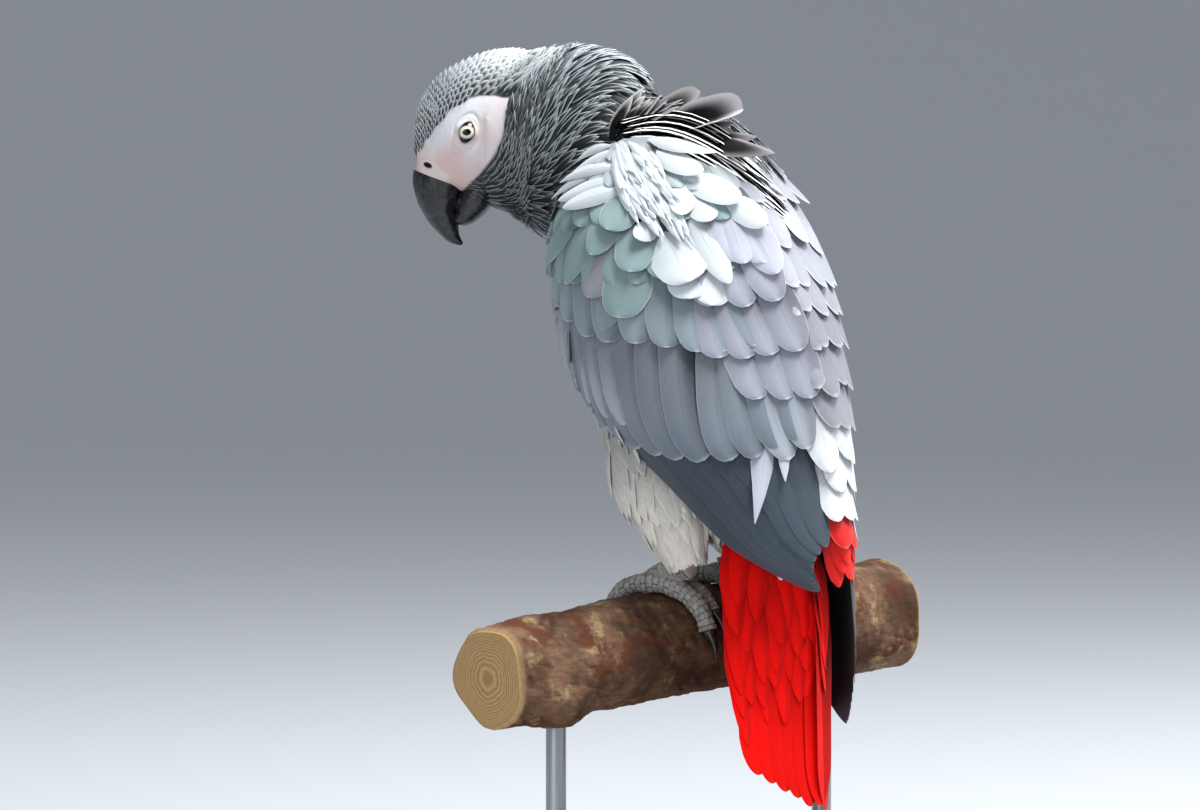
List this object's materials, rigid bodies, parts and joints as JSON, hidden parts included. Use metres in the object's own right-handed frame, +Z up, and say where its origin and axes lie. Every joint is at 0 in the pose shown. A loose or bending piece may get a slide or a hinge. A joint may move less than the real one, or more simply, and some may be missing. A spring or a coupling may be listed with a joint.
{
  "type": "grey parrot",
  "caption": "Life-size grey parrot with a red tail, gripping a cut length of branch on a two-rod display stand.",
  "frame": {"origin": "middle of the stand's flat underside, on the surface it stands on", "axes": "+Z up; the bird's body faces -Y and its left side is +X"},
  "size_m": [0.2263, 0.2046, 0.3313],
  "materials": {
    "plumage_grey": "ash-grey feathers with pale edges",
    "plumage_pale": "off-white belly and thigh feathers",
    "plumage_slate": "slate flight feathers",
    "plumage_red": "scarlet tail feathers",
    "bare_skin": "bare white skin, faintly pink",
    "horn_black": "satin black horn",
    "eye": "pale yellow iris under a glossy cornea",
    "scaly_foot": "pale grey scales",
    "branch": "weathered bark",
    "base_wood": "dark satin turned wood",
    "rod_steel": "brushed"
  },
  "bodies": {
    "root": {"head": "plumage_grey", "cere": "bare_skin", "bill_upper": "horn_black", "bill_lower": "horn_black", "eye_left": "eye", "eye_right": "eye", "neck": "plumage_grey", "trunk": "plumage_grey", "tail_coverts": "plumage_red", "tail": "plumage_red", "wing_left_coverts": "plumage_grey", "wing_left_secondaries": "plumage_slate", "wing_left_primaries": "plumage_slate", "wing_right_coverts": "plumage_grey", "wing_right_secondaries": "plumage_slate", "wing_right_primaries": "plumage_slate", "thigh_left": "plumage_pale", "tarsus_left": "scaly_foot", "toe_left_inner_front": "scaly_foot", "claw_left_inner_front": "horn_black", "toe_left_outer_front": "scaly_foot", "claw_left_outer_front": "horn_black", "toe_left_outer_rear": "scaly_foot", "claw_left_outer_rear": "horn_black", "toe_left_inner_rear": "scaly_foot", "claw_left_inner_rear": "horn_black", "thigh_right": "plumage_pale", "tarsus_right": "scaly_foot", "toe_right_inner_front": "scaly_foot", "claw_right_inner_front": "horn_black", "toe_right_outer_front": "scaly_foot", "claw_right_outer_front": "horn_black", "toe_right_outer_rear": "scaly_foot", "claw_right_outer_rear": "horn_black", "toe_right_inner_rear": "scaly_foot", "claw_right_inner_rear": "horn_black", "perch": "branch", "stand_rod_left": "rod_steel", "stand_rod_right": "rod_steel", "stand_base": "base_wood"}
  },
  "joints": []
}
